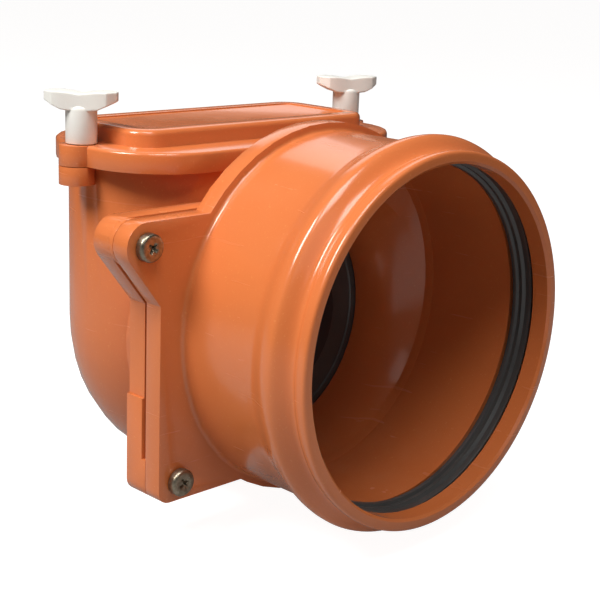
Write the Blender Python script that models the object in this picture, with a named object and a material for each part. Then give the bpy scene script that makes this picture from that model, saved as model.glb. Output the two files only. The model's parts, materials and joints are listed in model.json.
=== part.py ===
"""Backwater valve for a 160 mm drain pipe, built piece by piece.

Pipe coordinates: the origin is the centre of the inlet mouth, +X points out of the mouth,
+Y runs along the cover's long side and +Z is up. The whole valve hangs from one empty, which
moves that origin to the middle of the valve's footprint.
"""

import math

import bmesh
import bpy
from mathutils import Matrix, Vector

MM = 0.001

# Clearances
GAP = 0.3 * MM              # between pieces that touch
RUN = 0.3 * MM              # round a shaft in its hole

# Inlet socket
PIPE_RADIUS = 80.0 * MM     # outside of the drain pipe
SOCKET_BORE = PIPE_RADIUS + 0.3 * MM
SOCKET_OUTER = 85.7 * MM
SOCKET_DEPTH = 77.8 * MM    # mouth to pipe stop
LIP_OUTER = 86.1 * MM
LIP_LENGTH = 5.0 * MM
VALLEY_X = -7.7 * MM
VALLEY_RADIUS = 84.6 * MM
BEAD_X = -16.2 * MM
BEAD_RADIUS = 91.2 * MM
BEAD_END_X = -34.0 * MM
GROOVE_FRONT_X = -9.6 * MM
GROOVE_BACK_X = -23.4 * MM
GROOVE_RADIUS = 86.6 * MM
GROOVE_EDGE_RADIUS = 82.4 * MM
GROOVE_SLOPE = 3.4 * MM     # length over which the groove deepens behind its front edge
SEAL_LIP_RADIUS = 78.6 * MM

# Flange between the socket and the chamber
FLANGE_X = -75.8 * MM       # front face of the socket's flange
FLANGE_THICK = 9.6 * MM
FLANGE_SPACE = 2.9 * MM     # open slit between the two flanges
CHAMBER_FLANGE_THICK = 10.7 * MM
FLANGE_HALF_WIDTH = 98.0 * MM
FLANGE_BOTTOM_Z = -75.0 * MM
FLANGE_CORNER = 6.0 * MM
FLANGE_STEP_Z = 16.7 * MM   # where the ears begin to swing out
COLLAR_RADIUS = 89.5 * MM
ROOT_FILLET = 1.8 * MM
EAR_SCREW = (105.7 * MM, 44.0 * MM)
FOOT_SCREW = (86.8 * MM, -65.9 * MM)
EAR_RADIUS = 10.5 * MM
FOOT_PAD_HEIGHT = 18.5 * MM
FOOT_PAD_WIDTH = 21.0 * MM
FOOT_BLOCK_Z = -28.0 * MM   # the chamber's flange is wider below this height
FOOT_BLOCK_STEP = 1.4 * MM
FLANGE_BACK_X = FLANGE_X - FLANGE_THICK
CHAMBER_FRONT_X = FLANGE_BACK_X - FLANGE_SPACE
CHAMBER_FLANGE_BACK_X = CHAMBER_FRONT_X - CHAMBER_FLANGE_THICK

# Seat nozzle, an off-centre cone that ends in the valve seat
FUNNEL_DROP = 17.0 * MM     # how much the funnel's roof is lowered just behind the pipe stop
FUNNEL_START = 0.16         # share of the way from the pipe stop to the throat
THROAT_X = -90.7 * MM
THROAT_RADIUS = 65.5 * MM
THROAT_Z = -14.5 * MM
THROAT_TILT = math.radians(-7.0)
SEAT_X = -107.5 * MM
SEAT_RADIUS = 59.5 * MM
SEAT_Z = -12.8 * MM
SEAT_LAND = 2.0 * MM        # width of the ring the flap closes on
NOZZLE_WALL = 3.0 * MM

# Chamber, a tub with round ends and a round bottom
WALL = 4.0 * MM
CHAMBER_X = -147.5 * MM     # middle of the tub and of the cover
CHAMBER_HALF_DEPTH = 48.5 * MM
CHAMBER_HALF_WIDTH = 84.2 * MM
RIM_Z = 67.2 * MM
NECK_WALL = 3.2 * MM
NECK_BORE = 75.5 * MM
NECK_Z = -12.0 * MM

# Outlet port in the back of the tub
OUTLET_PIPE_RADIUS = 62.5 * MM
OUTLET_BORE = OUTLET_PIPE_RADIUS + 0.3 * MM
OUTLET_PASSAGE = 59.5 * MM
OUTLET_FACE_X = -184.2 * MM
OUTLET_FACE_RADIUS = 67.5 * MM
OUTLET_SLEEVE_RADIUS = 70.5 * MM
OUTLET_STOP_X = -172.0 * MM
OUTLET_SLEEVE_X = -170.0 * MM
OUTLET_GROOVE_RADIUS = 65.8 * MM
OUTLET_GROOVE = (-175.6 * MM, -181.4 * MM)

# Cover
COVER_Z = RIM_Z + GAP
COVER_THICK = 9.5 * MM
COVER_HALF_DEPTH = 49.5 * MM
COVER_HALF_WIDTH = 90.5 * MM
COVER_FRONT_CORNER = 38.0 * MM
COVER_BACK_CORNER = 48.0 * MM
DOME_X = CHAMBER_X - 2.0 * MM
DOME_HALF_DEPTH = 31.0 * MM
DOME_HALF_WIDTH = 76.0 * MM
DOME_CORNER = 13.0 * MM
DOME_HEIGHT = 8.0 * MM
DOME_EDGE = 2.6 * MM
PANEL_INSET = 9.0 * MM
PANEL_DEPTH = 0.8 * MM
EDGE = 1.6 * MM             # rounding of the cover's upper edges
SKIN = 3.2 * MM             # wall of the hollow cover
PLUG_DEPTH = 8.0 * MM
PLUG_FOOT = 2.0 * MM
GASKET_WIDTH = 2.5 * MM

# Wing screws
WING_Y = 87.5 * MM
BODY_EAR_HEIGHT = 8.5 * MM
COVER_EAR_RADIUS = 8.4 * MM
COVER_EAR_Y = 90.0 * MM     # the cover's ears stand a little further out than its screws
WING_HUB_RADIUS = 7.25 * MM
WING_HUB_HEIGHT = 15.4 * MM
WING_THREAD_RADIUS = 4.0 * MM
WING_THREAD_LENGTH = 17.3 * MM
WING_SPAN = 33.4 * MM
WING_HEIGHT = 8.6 * MM
WING_TIP_HEIGHT = 4.4 * MM
WING_WAIST = 5.0 * MM       # half thickness of the grip at its middle
WING_TIP = 7.2 * MM         # half thickness of the grip at its ends
WING_CORNER = 4.6 * MM
WING_TURN = {"left": math.radians(44.0), "right": math.radians(66.0)}
INSERT_RADIUS = 5.8 * MM

# Flap
FLAP_RADIUS = 63.0 * MM
FLAP_TOP_Z = 49.2 * MM
SEAL_THICK = 2.0 * MM
DISC_THICK = 3.0 * MM
DISC_RIB = 4.0 * MM
RETAINER_RADIUS = 41.0 * MM
RETAINER_THICK = 2.2 * MM
FLAP_SCREW_CIRCLE = 30.0 * MM
FLAP_SCREW_RADIUS = 2.0 * MM
HINGE_X = -109.0 * MM
HINGE_Z = 53.2 * MM
PIN_RADIUS = 1.8 * MM
KNUCKLE_RADIUS = 3.6 * MM
KNUCKLE_HALF = 9.0 * MM
LUG_THICK = 4.0 * MM
CLIP_THICK = 1.0 * MM

# Screws
SCREW_RADIUS = 3.0 * MM
SCREW_HEAD_RADIUS = 6.3 * MM
SCREW_HEAD_HEIGHT = 4.0 * MM
SCREW_TAIL = 1.5 * MM       # how far the thread stands out of its nut
NUT_FLAT = 10.0 * MM
NUT_THICK = 5.0 * MM

# Smoothness of round shapes
SEGMENTS = 48
TUB_SECTIONS = 14
FINE = 20

FOOTPRINT_X = (CHAMBER_X - COVER_HALF_DEPTH) / 2
BASE_Z = SEAT_Z - CHAMBER_HALF_WIDTH


def clear_scene():
    """Remove whatever the file holds."""
    for item in list(bpy.data.objects):
        bpy.data.objects.remove(item)


def material(name, colour, roughness, metallic=0.0):
    """A Principled material in one plain colour."""
    made = bpy.data.materials.new(name)
    made.use_nodes = True
    shader = made.node_tree.nodes["Principled BSDF"]
    shader.inputs["Base Color"].default_value = (*colour, 1.0)
    shader.inputs["Roughness"].default_value = roughness
    shader.inputs["Metallic"].default_value = metallic
    return made


def arc(centre, radius, start, end, steps):
    """Points on an arc from start to end degrees."""
    points = []
    for step in range(steps + 1):
        angle = math.radians(start + (end - start) * step / steps)
        points.append((centre[0] + radius * math.cos(angle), centre[1] + radius * math.sin(angle)))
    return points


def ease(start, end, steps):
    """Points of a smooth step from one point to the next, level at both ends."""
    points = []
    for step in range(1, steps + 1):
        part = step / steps
        lift = (1 - math.cos(math.pi * part)) / 2
        points.append((start[0] + (end[0] - start[0]) * part, start[1] + (end[1] - start[1]) * lift))
    return points


def ring(x, radius, z=0.0, tilt=0.0, segments=SEGMENTS):
    """A circle across the pipe; tilt leans its top backwards."""
    points = []
    for step in range(segments):
        angle = 2 * math.pi * step / segments
        side, rise = radius * math.cos(angle), radius * math.sin(angle)
        points.append((x + rise * math.sin(tilt), side, z + rise * math.cos(tilt)))
    return points


def rounded(half_x, half_y, corner, centre=(0.0, 0.0), steps=6):
    """Outline of a rectangle with round corners."""
    points = []
    for quarter, (sx, sy) in enumerate(((1, 1), (-1, 1), (-1, -1), (1, -1))):
        middle = (centre[0] + sx * (half_x - corner), centre[1] + sy * (half_y - corner))
        points += arc(middle, corner, 90 * quarter, 90 * quarter + 90, steps)
    return points


def solid(name, loops, closed=False):
    """Skin loops of equal length; a closed solid joins its last loop to its first."""
    mesh_edit = bmesh.new()
    rows = [[mesh_edit.verts.new(point) for point in loop] for loop in loops]
    pairs = list(zip(rows, rows[1:]))
    if closed:
        pairs.append((rows[-1], rows[0]))
    for first, second in pairs:
        for here in range(len(first)):
            after = (here + 1) % len(first)
            mesh_edit.faces.new((first[here], first[after], second[after], second[here]))
    if not closed:
        mesh_edit.faces.new(rows[0])
        mesh_edit.faces.new(rows[-1])
    bmesh.ops.remove_doubles(mesh_edit, verts=mesh_edit.verts, dist=0.001 * MM)
    bmesh.ops.recalc_face_normals(mesh_edit, faces=mesh_edit.faces)
    mesh = bpy.data.meshes.new(name)
    mesh_edit.to_mesh(mesh)
    mesh_edit.free()
    made = bpy.data.objects.new(name, mesh)
    bpy.context.scene.collection.objects.link(made)
    return made


def across(name, outline, x_from, x_to):
    """A plate across the pipe, from an outline in Y and Z."""
    return solid(name, [[(x, y, z) for y, z in outline] for x in (x_from, x_to)])


def upright(name, outline, z_from, z_to):
    """A plate that lies flat, from an outline in X and Y."""
    return solid(name, [[(x, y, z) for x, y in outline] for z in (z_from, z_to)])


def turned(name, profile, segments=SEGMENTS, z=0.0):
    """A ring about the pipe axis from a closed profile of (x, radius)."""
    return solid(name, [ring(x, radius, z, 0.0, segments) for x, radius in profile], closed=True)


def rod(name, start, end, radius, segments=FINE):
    """A round bar between two points."""
    start, end = Vector(start), Vector(end)
    turn = (end - start).to_track_quat("Z", "Y").to_matrix().to_4x4()
    circle = [Vector((*point, 0.0)) for point in arc((0.0, 0.0), radius, 0, 360, segments)[:-1]]
    return solid(name, [[Matrix.Translation(at) @ turn @ point for point in circle] for at in (start, end)])


def combine(body, tool, operation):
    """Join, cut or intersect a body with a tool, and use the tool up."""
    step = body.modifiers.new(operation.title(), "BOOLEAN")
    step.operation = operation
    step.object = tool
    graph = bpy.context.evaluated_depsgraph_get()
    result = bpy.data.meshes.new_from_object(body.evaluated_get(graph))
    body.modifiers.clear()
    before = body.data
    body.data = result
    bpy.data.meshes.remove(before)
    bpy.data.objects.remove(tool)
    return body


def join(body, *tools):
    """Fuse each tool to the body."""
    for tool in tools:
        combine(body, tool, "UNION")
    return body


def cut(body, *tools):
    """Cut each tool out of the body."""
    for tool in tools:
        combine(body, tool, "DIFFERENCE")
    return body


def dress(body, finish, crease=35.0):
    """Give a piece its material and smooth its round faces."""
    body.data.materials.clear()
    body.data.materials.append(finish)
    body.data.shade_smooth()
    body.data.set_sharp_from_angle(angle=math.radians(crease))
    return body


def hang(body, carrier):
    """Parent a piece to an empty without moving it."""
    body.data.transform(Matrix.Translation(-Vector(carrier["pipe_place"])))
    body.parent = carrier
    return body


def empty(name, place, parent=None):
    """An empty at a place given in pipe coordinates."""
    made = bpy.data.objects.new(name, None)
    bpy.context.scene.collection.objects.link(made)
    made["pipe_place"] = place
    made.location = Vector(place)
    if parent is not None:
        made.parent = parent
        made.location = Vector(place) - Vector(parent["pipe_place"])
    return made


def ear_tangent():
    """Where the straight lower side of an ear meets its round end, as an angle in degrees."""
    from_screw = Vector((FLANGE_HALF_WIDTH - EAR_SCREW[0], FLANGE_STEP_Z - EAR_SCREW[1]))
    towards = math.degrees(math.atan2(from_screw.y, from_screw.x))
    return towards + math.degrees(math.acos(EAR_RADIUS / from_screw.length))


def flange_outline(step=0.0):
    """The flange's outline: a straight-sided plate with two ears above; step narrows it above its feet."""
    half = [(0.0, FLANGE_BOTTOM_Z)]
    corner = (FLANGE_HALF_WIDTH - FLANGE_CORNER, FLANGE_BOTTOM_Z + FLANGE_CORNER)
    half += arc(corner, FLANGE_CORNER, -90, 0, 5)
    if step:
        half += [(FLANGE_HALF_WIDTH, FOOT_BLOCK_Z), (FLANGE_HALF_WIDTH - step, FOOT_BLOCK_Z)]
    half.append((FLANGE_HALF_WIDTH - step, FLANGE_STEP_Z - step))
    half += arc(EAR_SCREW, EAR_RADIUS, ear_tangent(), 90, 9)
    half.append((0.0, EAR_SCREW[1] + EAR_RADIUS))
    return half + [(-y, z) for y, z in reversed(half[1:-1])]


def foot_pad_outline(side):
    """One of the chamber flange's lower corner pads."""
    corner = (FLANGE_HALF_WIDTH - FLANGE_CORNER, FLANGE_BOTTOM_Z + FLANGE_CORNER)
    points = arc(corner, FLANGE_CORNER, -90, 0, 5)
    points.append((FLANGE_HALF_WIDTH, FLANGE_BOTTOM_Z + FOOT_PAD_HEIGHT))
    points.append((FLANGE_HALF_WIDTH - FOOT_PAD_WIDTH, FLANGE_BOTTOM_Z + FOOT_PAD_HEIGHT))
    points.append((FLANGE_HALF_WIDTH - FOOT_PAD_WIDTH, FLANGE_BOTTOM_Z))
    return [(side * y, z) for y, z in points]


def flange_screw_places():
    """Sides and heights of the four flange screws."""
    return [(side * y, z) for y, z in (EAR_SCREW, FOOT_SCREW) for side in (-1, 1)]


def socket_profile():
    """Outside of the socket from its mouth to its flange, as (x, radius)."""
    lip = [(0.0, LIP_OUTER - 1.6 * MM), (-0.5 * MM, LIP_OUTER - 0.5 * MM), (-1.8 * MM, LIP_OUTER)]
    lip += ease((-LIP_LENGTH, LIP_OUTER - 0.4 * MM), (VALLEY_X, VALLEY_RADIUS), 2)
    bead = ease((VALLEY_X, VALLEY_RADIUS), (BEAD_X, BEAD_RADIUS), 5)
    back = ease((BEAD_X, BEAD_RADIUS), (BEAD_END_X, SOCKET_OUTER + 0.5 * MM), 6)
    barrel = [(BEAD_END_X - 1.5 * MM, SOCKET_OUTER)]
    root = arc((FLANGE_X + ROOT_FILLET, SOCKET_OUTER + ROOT_FILLET), ROOT_FILLET, 270, 180, 3)
    return lip + bead + back + barrel + root + [(FLANGE_X, COLLAR_RADIUS), (FLANGE_BACK_X, COLLAR_RADIUS)]


def funnel_ring(wall):
    """A ring just behind the pipe stop, whose roof is lowered so that the nozzle fits the chamber's neck."""
    mouth = ring(-SOCKET_DEPTH, SOCKET_BORE + wall)
    throat = ring(THROAT_X, THROAT_RADIUS + wall, THROAT_Z, THROAT_TILT)
    points = []
    for start, end in zip(mouth, throat):
        x, y, z = (a + FUNNEL_START * (b - a) for a, b in zip(start, end))
        roof = max(0.0, z) / (SOCKET_BORE + wall)
        points.append((x, y, z - FUNNEL_DROP * roof))
    return points


def make_inlet_socket(finish):
    """The socket with its flange, its seat nozzle and the lugs that carry the hinge pin."""
    body = solid("inlet_socket", [ring(x, radius) for x, radius in socket_profile()])
    flange = across("flange", flange_outline(), FLANGE_X, FLANGE_BACK_X)
    nozzle = solid("nozzle", [
        funnel_ring(NOZZLE_WALL),
        ring(THROAT_X, THROAT_RADIUS + NOZZLE_WALL, THROAT_Z, THROAT_TILT),
        ring(SEAT_X, SEAT_RADIUS + SEAT_LAND, SEAT_Z),
    ])
    join(body, flange, nozzle, *[make_lug(side) for side in (-1, 1)])
    waterway = solid("waterway", [
        ring(MM, SOCKET_BORE + 2.2 * MM),
        ring(-1.2 * MM, SOCKET_BORE),
        ring(GROOVE_FRONT_X, SOCKET_BORE),
        ring(GROOVE_FRONT_X, GROOVE_EDGE_RADIUS),
        ring(GROOVE_FRONT_X - GROOVE_SLOPE, GROOVE_RADIUS),
        ring(GROOVE_BACK_X, GROOVE_RADIUS),
        ring(GROOVE_BACK_X, SOCKET_BORE),
        ring(-SOCKET_DEPTH, SOCKET_BORE),
        funnel_ring(0.0),
        ring(THROAT_X, THROAT_RADIUS, THROAT_Z, THROAT_TILT),
        ring(SEAT_X + MM, SEAT_RADIUS, SEAT_Z),
        ring(SEAT_X - MM, SEAT_RADIUS, SEAT_Z),
    ])
    cut(body, waterway)
    for y, z in flange_screw_places():
        cut(body, rod("hole", (FLANGE_X + MM, y, z), (FLANGE_BACK_X - MM, y, z), SCREW_RADIUS + RUN))
    far = KNUCKLE_HALF + LUG_THICK + 2 * MM
    cut(body, rod("pin_hole", (HINGE_X, -far, HINGE_Z), (HINGE_X, far, HINGE_Z), PIN_RADIUS + RUN, 16))
    return dress(body, finish)


def make_lug(side):
    """One hinge lug on top of the nozzle, with a round end about the pin."""
    foot_x = SEAT_X + 8.0 * MM
    outline = [(foot_x, HINGE_Z + KNUCKLE_RADIUS - 2.0 * MM), (foot_x, SEAT_Z + SEAT_RADIUS)]
    outline.append((SEAT_X + GAP, SEAT_Z + SEAT_RADIUS + 0.5 * MM))
    outline.append((SEAT_X + GAP, HINGE_Z - KNUCKLE_RADIUS))
    outline += arc((HINGE_X, HINGE_Z), KNUCKLE_RADIUS, 270, 90, 8)
    inner = side * (KNUCKLE_HALF + RUN)
    outer = side * (KNUCKLE_HALF + RUN + LUG_THICK)
    return solid("lug", [[(x, y, z) for x, z in outline] for y in (inner, outer)])


def tub(name, inset, top):
    """The tub's solid: round ends in plan and a round bottom, shrunk by inset all round."""
    end = CHAMBER_HALF_DEPTH - inset
    core = CHAMBER_HALF_WIDTH - CHAMBER_HALF_DEPTH
    sections = []
    for step in range(TUB_SECTIONS + 1):
        angle = math.pi * step / TUB_SECTIONS
        x = CHAMBER_X + end * math.cos(angle)
        half = core + end * math.sin(angle)
        bottom = arc((0.0, SEAT_Z), half, 180, 360, SEGMENTS // 2)
        sections.append([(x, y, z) for y, z in [(-half, top)] + bottom + [(half, top)]])
    return solid(name, sections)


def make_chamber(finish):
    """The tub with its flange, neck, outlet sleeve and wing-screw ears."""
    body = tub("chamber", 0.0, RIM_Z)
    flange = across("flange", flange_outline(FOOT_BLOCK_STEP), CHAMBER_FRONT_X, CHAMBER_FLANGE_BACK_X)
    neck_radius = NECK_BORE + NECK_WALL
    neck_end = CHAMBER_X + 0.4 * CHAMBER_HALF_DEPTH
    neck = solid("neck", [ring(CHAMBER_FRONT_X, neck_radius, NECK_Z), ring(neck_end, neck_radius, NECK_Z)])
    join(body, flange, neck)
    pad_x = FLANGE_BACK_X - GAP
    for side in (-1, 1):
        ear = (side * EAR_SCREW[0], EAR_SCREW[1])
        join(
            body,
            across("ear_pad", arc(ear, EAR_RADIUS, 0, 360, FINE)[:-1], pad_x, CHAMBER_FRONT_X - MM),
            across("foot_pad", foot_pad_outline(side), pad_x, CHAMBER_FRONT_X - MM),
            rod("ear", (CHAMBER_X, side * COVER_EAR_Y, RIM_Z - BODY_EAR_HEIGHT),
                (CHAMBER_X, side * COVER_EAR_Y, RIM_Z), COVER_EAR_RADIUS, 28),
        )
    hollow = tub("hollow", WALL, RIM_Z + 5.0 * MM)
    sleeve_ends = (OUTLET_SLEEVE_X, CHAMBER_X - CHAMBER_HALF_DEPTH - MM)
    cut(hollow, solid("sleeve", [ring(x, OUTLET_SLEEVE_RADIUS, SEAT_Z) for x in sleeve_ends]))
    cut(body, hollow)
    cut(body, solid("neck_bore", [ring(x, NECK_BORE, NECK_Z) for x in (CHAMBER_FRONT_X + MM, neck_end)]))
    outside = CHAMBER_X - CHAMBER_HALF_DEPTH - 5.0 * MM
    cut(body, solid("outlet", [
        ring(OUTLET_SLEEVE_X + MM, OUTLET_PASSAGE, SEAT_Z),
        ring(OUTLET_STOP_X, OUTLET_PASSAGE, SEAT_Z),
        ring(OUTLET_STOP_X, OUTLET_BORE, SEAT_Z),
        ring(OUTLET_GROOVE[0], OUTLET_BORE, SEAT_Z),
        ring(OUTLET_GROOVE[0], OUTLET_GROOVE_RADIUS, SEAT_Z),
        ring(OUTLET_GROOVE[1], OUTLET_GROOVE_RADIUS, SEAT_Z),
        ring(OUTLET_GROOVE[1], OUTLET_BORE, SEAT_Z),
        ring(OUTLET_FACE_X, OUTLET_BORE, SEAT_Z),
        ring(OUTLET_FACE_X, OUTLET_FACE_RADIUS, SEAT_Z),
        ring(outside, OUTLET_FACE_RADIUS, SEAT_Z),
    ]))
    for y, z in flange_screw_places():
        cut(body, rod("hole", (FLANGE_BACK_X, y, z), (CHAMBER_FLANGE_BACK_X - MM, y, z), SCREW_RADIUS + RUN))
        cut(body, nut_shape("nut_pocket", NUT_FLAT + 2 * GAP, CHAMBER_FLANGE_BACK_X + NUT_THICK + GAP,
                            CHAMBER_FLANGE_BACK_X - MM, y, z))
    for side in (-1, 1):
        floor = RIM_Z - BODY_EAR_HEIGHT
        middle = (CHAMBER_X, side * WING_Y)
        cut(
            body,
            rod("screw_hole", (*middle, floor - MM), (*middle, RIM_Z + MM), WING_THREAD_RADIUS + RUN),
            rod("insert_hole", (*middle, floor + MM), (*middle, RIM_Z + MM), INSERT_RADIUS + GAP),
        )
    return dress(body, finish)


def nut_shape(name, flat, x_from, x_to, y, z):
    """A hexagonal bar along the pipe axis."""
    hexagon = arc((y, z), flat / math.sqrt(3), 0, 360, 6)[:-1]
    return across(name, hexagon, x_from, x_to)


def make_flange_nut(name, finish, y, z):
    """A nut let into the back of the chamber's flange."""
    front = CHAMBER_FLANGE_BACK_X + NUT_THICK
    body = nut_shape(name, NUT_FLAT, front, CHAMBER_FLANGE_BACK_X, y, z)
    thread = rod("thread", (front + MM, y, z), (CHAMBER_FLANGE_BACK_X - MM, y, z), SCREW_RADIUS + RUN)
    return dress(cut(body, thread), finish)


def make_flange_screw(name, finish, y, z):
    """A pan-head screw with a cross recess, through both flanges."""
    seat = FLANGE_X + GAP
    tail = CHAMBER_FLANGE_BACK_X - SCREW_TAIL
    crown = seat + SCREW_HEAD_HEIGHT
    profile = [(tail, SCREW_RADIUS), (seat, SCREW_RADIUS), (seat, SCREW_HEAD_RADIUS)]
    profile.append((seat + 0.45 * SCREW_HEAD_HEIGHT, SCREW_HEAD_RADIUS))
    profile.append((seat + 0.85 * SCREW_HEAD_HEIGHT, 0.82 * SCREW_HEAD_RADIUS))
    profile.append((crown, 0.5 * SCREW_HEAD_RADIUS))
    body = solid(name, [[(x, y + side, z + rise) for _, side, rise in ring(x, radius, segments=16)]
                        for x, radius in profile])
    arm, blade = 0.55 * SCREW_HEAD_RADIUS, 0.13 * SCREW_HEAD_RADIUS
    for half_y, half_z in ((arm, blade), (blade, arm)):
        outline = [(y + half_y, z + half_z), (y - half_y, z + half_z), (y - half_y, z - half_z)]
        outline.append((y + half_y, z - half_z))
        cut(body, across("recess", outline, crown - 0.5 * SCREW_HEAD_HEIGHT, crown + MM))
    return dress(body, finish)


def make_socket_seal(finish):
    """The lip seal in the socket's groove."""
    outer = GROOVE_RADIUS - GAP
    front, back = GROOVE_FRONT_X - GAP, GROOVE_BACK_X + GAP
    edge = GROOVE_EDGE_RADIUS - GAP
    profile = [(front, edge), (front, edge - 2.2 * MM), (front - 4.0 * MM, SEAL_LIP_RADIUS + 0.9 * MM)]
    profile += [(back + 3.6 * MM, SEAL_LIP_RADIUS), (back + 2.4 * MM, SEAL_LIP_RADIUS + 0.3 * MM)]
    profile += [(back + 4.6 * MM, edge), (back, edge + 1.6 * MM), (back, outer)]
    profile.append((front - GROOVE_SLOPE + GAP / 3, outer))
    return dress(turned("socket_lip_seal", profile), finish)


def make_outlet_seal(finish):
    """The smaller lip seal in the outlet port."""
    outer = OUTLET_GROOVE_RADIUS - GAP
    front, back = OUTLET_GROOVE[1] + GAP, OUTLET_GROOVE[0] - GAP
    profile = [(front, outer), (back, outer), (back, outer - 1.6 * MM), (back - 1.2 * MM, OUTLET_PASSAGE + 2.2 * MM)]
    profile += [(back - 2.2 * MM, OUTLET_PASSAGE + 2.4 * MM), (front, outer - 1.6 * MM)]
    return dress(turned("outlet_lip_seal", profile, z=SEAT_Z), finish)


def make_flange_gasket(finish):
    """The rubber ring squeezed between the two flanges, round the nozzle."""
    front, back = FLANGE_BACK_X - GAP, CHAMBER_FRONT_X + GAP
    outer = NECK_BORE + NECK_WALL
    inner = outer - 1.5 * MM
    profile = [(front, inner), (front, outer), (back, outer), (back, inner)]
    return dress(turned("flange_gasket", profile, z=NECK_Z), finish)


def pillow(name, outline, z_from, z_to, edge):
    """A flat plate whose upper edge is rounded; outline(inset) gives its outline shrunk by inset."""
    steps = [(0.0, z_from), (0.0, z_to - edge)]
    for turn in (math.radians(30), math.radians(60), math.radians(90)):
        steps.append((edge - edge * math.cos(turn), z_to - edge + edge * math.sin(turn)))
    return solid(name, [[(x, y, z) for x, y in outline(inset)] for inset, z in steps])


def plate_outline(inset):
    """The cover plate seen from above: its back corners are rounder than its front ones."""
    points = []
    for quarter, (sx, sy) in enumerate(((1, 1), (-1, 1), (-1, -1), (1, -1))):
        corner = COVER_FRONT_CORNER if sx > 0 else COVER_BACK_CORNER
        middle = (CHAMBER_X + sx * (COVER_HALF_DEPTH - corner), sy * (COVER_HALF_WIDTH - corner))
        points += arc(middle, corner - inset, 90 * quarter, 90 * quarter + 90, 7)
    return points


def dome_outline(inset):
    """The cover's raised middle seen from above."""
    return rounded(DOME_HALF_DEPTH - inset, DOME_HALF_WIDTH - inset, DOME_CORNER - inset, (DOME_X, 0.0))


def stadium(inset):
    """The tub's outline in plan, shrunk by inset."""
    end = CHAMBER_HALF_DEPTH - inset
    return rounded(end, CHAMBER_HALF_WIDTH - inset, end, (CHAMBER_X, 0.0), 8)


def make_cover(finish):
    """The hollow cover: a plate with two ears, a raised middle, and a plug that enters the tub."""
    plate_top = COVER_Z + COVER_THICK
    dome_top = plate_top + DOME_HEIGHT
    body = pillow("access_cover", plate_outline, COVER_Z, plate_top, EDGE)
    join(body, pillow("dome", dome_outline, plate_top - MM, dome_top, DOME_EDGE))
    plug_outer = WALL + 2 * GAP + GASKET_WIDTH
    plug_foot = COVER_Z - PLUG_DEPTH
    join(
        body,
        upright("plug", stadium(plug_outer), plug_foot, COVER_Z + MM),
        upright("plug_rim", stadium(WALL + 3 * GAP), plug_foot, plug_foot + PLUG_FOOT),
    )
    for side in (-1, 1):
        ear, screw = (CHAMBER_X, side * COVER_EAR_Y), (CHAMBER_X, side * WING_Y)
        join(body, rod("ear", (*ear, COVER_Z), (*ear, plate_top), COVER_EAR_RADIUS, 28))
        cut(body, rod("hole", (*screw, COVER_Z - MM), (*screw, plate_top + MM), WING_THREAD_RADIUS + RUN))
    cut(
        body,
        upright("panel", dome_outline(PANEL_INSET), dome_top - PANEL_DEPTH, dome_top + MM),
        upright("hollow", stadium(plug_outer + SKIN), plug_foot - MM, plate_top - SKIN),
        upright("dome_hollow", dome_outline(SKIN), COVER_Z, dome_top - PANEL_DEPTH - SKIN),
    )
    for y in (-0.45 * DOME_HALF_WIDTH, 0.0, 0.45 * DOME_HALF_WIDTH):
        rib = rounded(DOME_HALF_DEPTH - EDGE, SKIN / 3, SKIN / 6, (DOME_X, y), 1)
        join(body, upright("rib", rib, COVER_Z + MM, dome_top - PANEL_DEPTH - MM))
    return dress(body, finish)


def make_cover_gasket(finish):
    """The rubber band round the cover's plug."""
    outer = stadium(WALL + GAP)
    inner = stadium(WALL + GAP + GASKET_WIDTH)
    low, high = COVER_Z - PLUG_DEPTH + PLUG_FOOT + GAP, RIM_Z
    loops = [[(x, y, low) for x, y in outer], [(x, y, high) for x, y in outer]]
    loops += [[(x, y, high) for x, y in inner], [(x, y, low) for x, y in inner]]
    return dress(solid("cover_gasket", loops, closed=True), finish)


def make_cover_insert(name, finish, side):
    """The threaded brass bush in the tub's ear."""
    middle = (CHAMBER_X, side * WING_Y)
    low, high = RIM_Z - BODY_EAR_HEIGHT + MM + GAP, RIM_Z - 0.2 * MM
    body = rod(name, (*middle, low), (*middle, high), INSERT_RADIUS)
    return dress(cut(body, rod("thread", (*middle, low - MM), (*middle, high + MM), WING_THREAD_RADIUS + RUN)), finish)


def wing_outline(turn):
    """The grip seen from above: two wings that narrow to a waist between them."""
    along, aside = WING_SPAN / 2 - WING_CORNER, WING_TIP - WING_CORNER
    points = arc((along, aside), WING_CORNER, 0, 105, 4)
    points.append((0.0, WING_WAIST))
    points += arc((-along, aside), WING_CORNER, 75, 180, 4)
    points += arc((-along, -aside), WING_CORNER, 180, 285, 4)
    points.append((0.0, -WING_WAIST))
    points += arc((along, -aside), WING_CORNER, 255, 360, 4)
    spin = Matrix.Rotation(turn, 2)
    return [tuple(spin @ Vector(point)) for point in points]


def make_wing_screw(name, finish, turn):
    """A wing screw about its own axis, its origin on the cover's upper face."""
    base, top = WING_HUB_HEIGHT, WING_HUB_HEIGHT + WING_HEIGHT
    grip = upright(name, wing_outline(turn), base, top)
    reach, tip = WING_SPAN / 2 + MM, top - WING_TIP_HEIGHT
    side = [(-reach, top + MM), (-reach, tip), (-WING_HUB_RADIUS, base), (WING_HUB_RADIUS, base)]
    side += [(reach, tip), (reach, top + MM)]
    wedge = across("wedge", side, -WING_SPAN, WING_SPAN)
    wedge.data.transform(Matrix.Rotation(turn - math.pi / 2, 4, "Z"))
    combine(grip, wedge, "INTERSECT")
    join(
        grip,
        rod("hub", (0.0, 0.0, GAP), (0.0, 0.0, base + 2 * MM), WING_HUB_RADIUS, 28),
        rod("thread", (0.0, 0.0, -WING_THREAD_LENGTH), (0.0, 0.0, 2 * MM), WING_THREAD_RADIUS),
    )
    return dress(grip, finish)


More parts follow.
